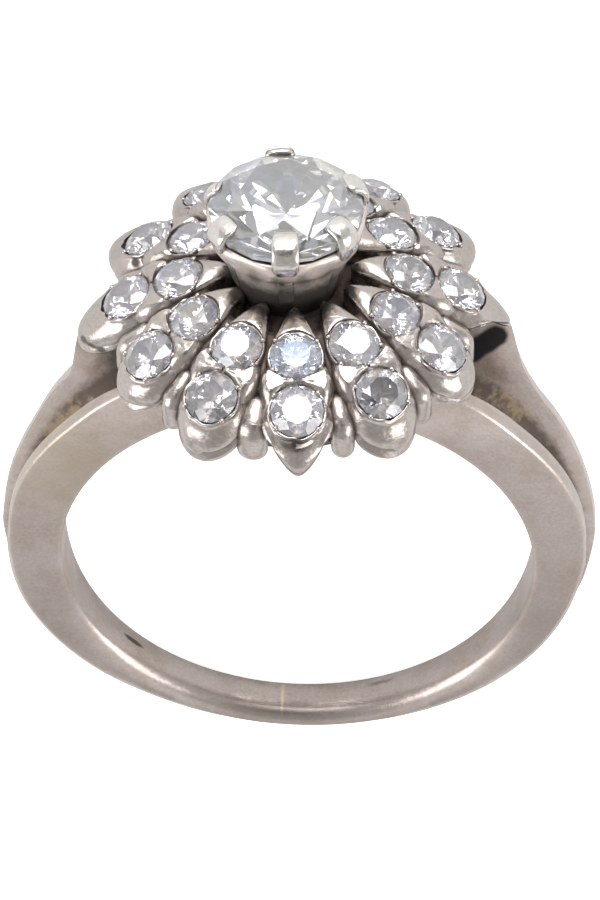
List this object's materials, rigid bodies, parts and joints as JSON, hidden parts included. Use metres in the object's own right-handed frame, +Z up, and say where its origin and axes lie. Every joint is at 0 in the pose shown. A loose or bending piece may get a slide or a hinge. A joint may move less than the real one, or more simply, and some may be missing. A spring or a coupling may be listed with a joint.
{
  "type": "flower cluster ring",
  "caption": "Ring with a round centre stone in a tall pronged basket, a domed flower of pointed stone-set petals around it, and a band that splits into branches at each shoulder.",
  "frame": {"origin": "Centre of the bounding box in X and Y, at the floor that the ring lies on.", "axes": "The ring lies on its side, on the rim of its back petal and on the back edge of the band's bottom. +Z is up, the flower points towards -Y, and the finger's axis leans 18 degrees from +Z."},
  "size_m": [0.0212, 0.026, 0.0136],
  "materials": {
    "white_gold": "satin, worn",
    "diamond": "polished"
  },
  "bodies": {
    "root": {"ring_metal": "white_gold", "centre_stone": "diamond", "inner_stone_01": "diamond", "inner_stone_02": "diamond", "inner_stone_03": "diamond", "inner_stone_04": "diamond", "inner_stone_05": "diamond", "inner_stone_06": "diamond", "inner_stone_07": "diamond", "inner_stone_08": "diamond", "inner_stone_09": "diamond", "inner_stone_10": "diamond", "inner_stone_11": "diamond", "inner_stone_12": "diamond", "outer_stone_01": "diamond", "outer_stone_02": "diamond", "outer_stone_03": "diamond", "outer_stone_04": "diamond", "outer_stone_05": "diamond", "outer_stone_06": "diamond", "outer_stone_07": "diamond", "outer_stone_08": "diamond", "outer_stone_09": "diamond", "outer_stone_10": "diamond", "outer_stone_11": "diamond", "outer_stone_12": "diamond"}
  },
  "joints": []
}
